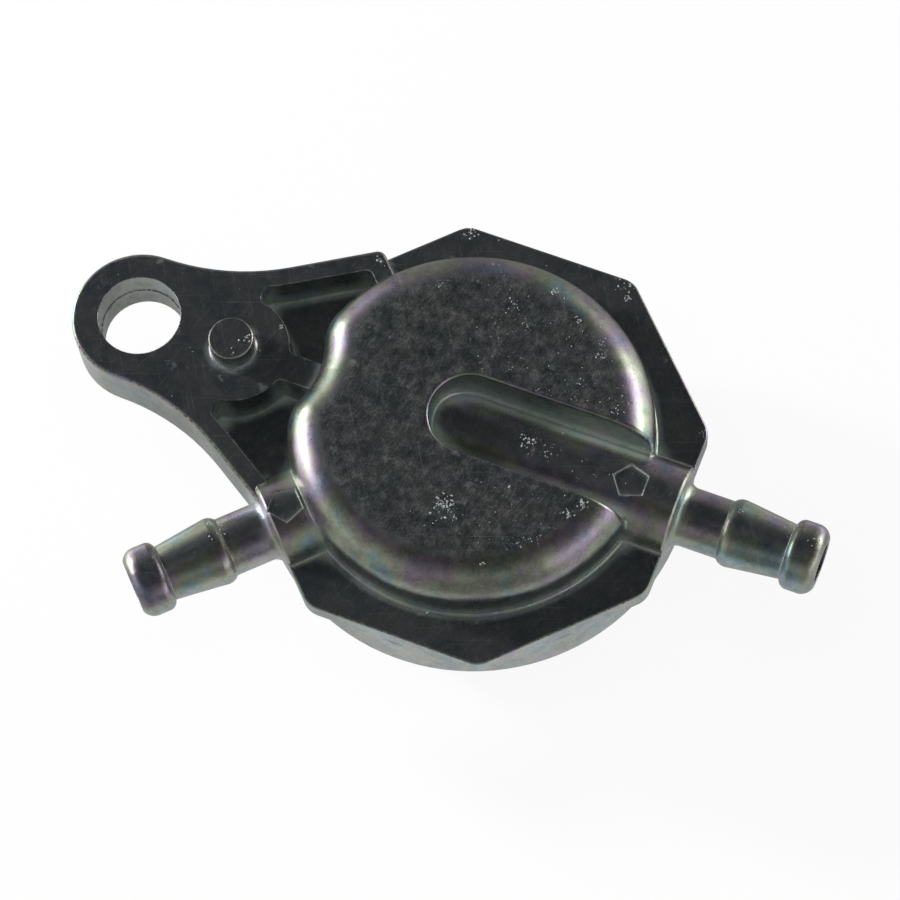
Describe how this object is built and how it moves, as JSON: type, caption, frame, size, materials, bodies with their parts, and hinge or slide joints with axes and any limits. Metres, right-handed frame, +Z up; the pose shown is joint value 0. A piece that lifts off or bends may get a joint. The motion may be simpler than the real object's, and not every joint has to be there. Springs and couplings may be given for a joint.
{
  "type": "fuel tap",
  "caption": "Vacuum-operated fuel tap with a round drum on an octagonal flange, a mounting arm with eye and peg, hose barbs and a sprung diaphragm valve.",
  "frame": {"origin": "centre of the cover's flat underside, on the axis of the drum and the valve", "axes": "+Z up through the drum, +X along the outlet barb, the mounting arm along -X, the inlet barb between -X and -Y"},
  "size_m": [0.0741, 0.0489, 0.0235],
  "materials": {
    "body_casting": "die-cast zinc, dark passivated with a faint rainbow tint, satin, worn pale at the edges",
    "cover_casting": "die-cast zinc, dark passivated, satin",
    "seal_rubber": "black fuel-proof rubber, matt",
    "diaphragm_rubber": "black rubber on fabric, matt",
    "stem_brass": "turned brass, satin",
    "sleeve_plastic": "off-white moulded plastic",
    "spacer_aluminium": "die-cast aluminium, satin",
    "plate_steel": "pressed steel, zinc plated",
    "spring_steel": "drawn spring steel",
    "screw_steel": "zinc plated steel"
  },
  "bodies": {
    "casing": {"tap_body": "body_casting", "fuel_diaphragm": "diaphragm_rubber", "spacer_ring": "spacer_aluminium", "vacuum_diaphragm": "diaphragm_rubber", "cover": "cover_casting", "cover_screws": "screw_steel", "spring_washers": "screw_steel", "return_spring": "spring_steel"},
    "valve": {"valve_stem": "stem_brass", "valve_seal": "seal_rubber", "distance_sleeve": "sleeve_plastic", "pressure_plate": "plate_steel", "stem_clip": "plate_steel"}
  },
  "joints": [
    {"name": "valve_lift", "type": "slide", "parent": "casing", "child": "valve", "axis": [0, 0, -1], "range_m": [0, 0.0012], "stiffness_N_per_m": 1500, "springref_m": -0.002, "deforming": ["fuel_diaphragm", "vacuum_diaphragm", "return_spring"]}
  ]
}
